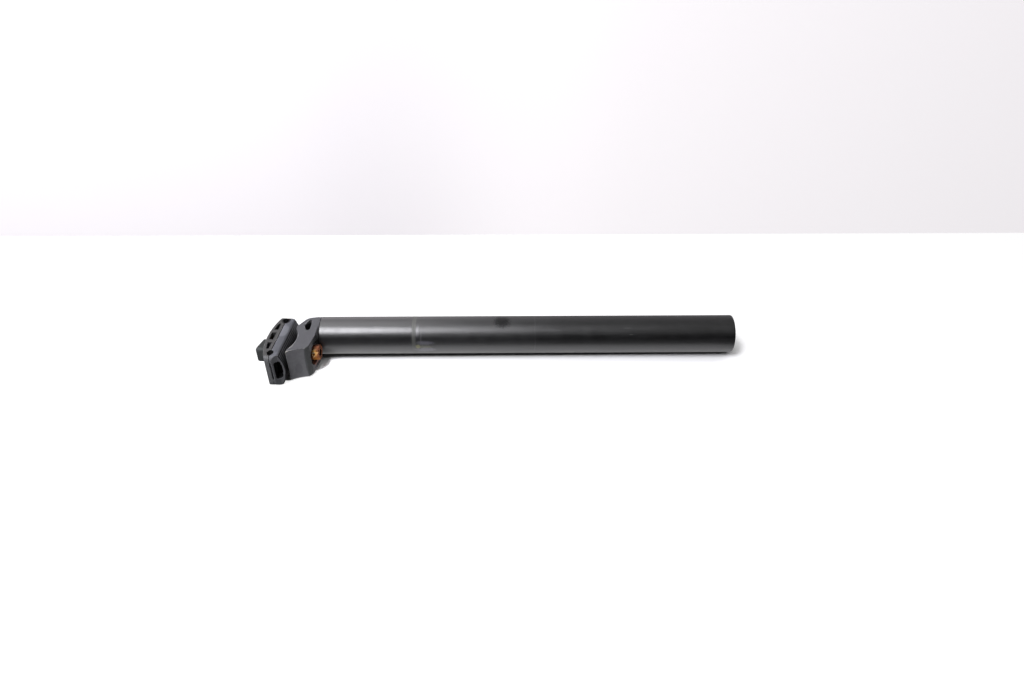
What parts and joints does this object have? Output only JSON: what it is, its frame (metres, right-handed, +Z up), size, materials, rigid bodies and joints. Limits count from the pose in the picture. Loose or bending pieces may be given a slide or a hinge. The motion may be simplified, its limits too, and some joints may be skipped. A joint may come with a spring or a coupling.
{
  "type": "bicycle seatpost",
  "caption": "Set-back bicycle seatpost: straight tube, forged head with a serrated cradle, and a bolted clamp for saddle rails, loosened and turned crosswise.",
  "frame": {"origin": "on the tube axis at the collar, where the tube meets the head", "axes": "+X along the tube to its open end, -Y the way the head is set back, +Z up as it lies, which is across the bicycle"},
  "size_m": [0.3975, 0.0656, 0.0316],
  "materials": {
    "tube": "satin black anodised, worn",
    "head": "matt dark grey",
    "lower_clamp": "matt dark grey",
    "upper_clamp": "matt dark grey",
    "nut": "blackened steel",
    "washer": "rusty steel",
    "bolt": "rusty, once gold plated"
  },
  "bodies": {
    "post": {"post_tube": "tube", "post_head": "head", "bolt_washer": "washer"},
    "rocker": {"lower_clamp": "lower_clamp"},
    "cap": {"upper_clamp": "upper_clamp", "clamp_nut": "nut"},
    "screw": {"clamp_bolt": "bolt"}
  },
  "joints": [
    {"name": "clamp_swivel", "type": "hinge", "parent": "post", "child": "rocker", "pos_m": [-0.0303, -0.0215, 0], "axis": [0.9978, -0.0663, 0], "continuous": true},
    {"name": "bolt_turn", "type": "hinge", "parent": "post", "child": "screw", "pos_m": [-0.00436, -0.02322, 0], "axis": [0.9978, -0.0663, 0], "range_deg": [-90, 1810]},
    {"name": "jaw_travel", "type": "slide", "parent": "rocker", "child": "cap", "axis": [-0.9978, 0.0663, 0], "range_m": [-0.0003, 0.00625]}
  ],
  "couplings": [
    {"joint": "bolt_turn", "follows": "jaw_travel", "rad_per_m": 5026.5}
  ]
}
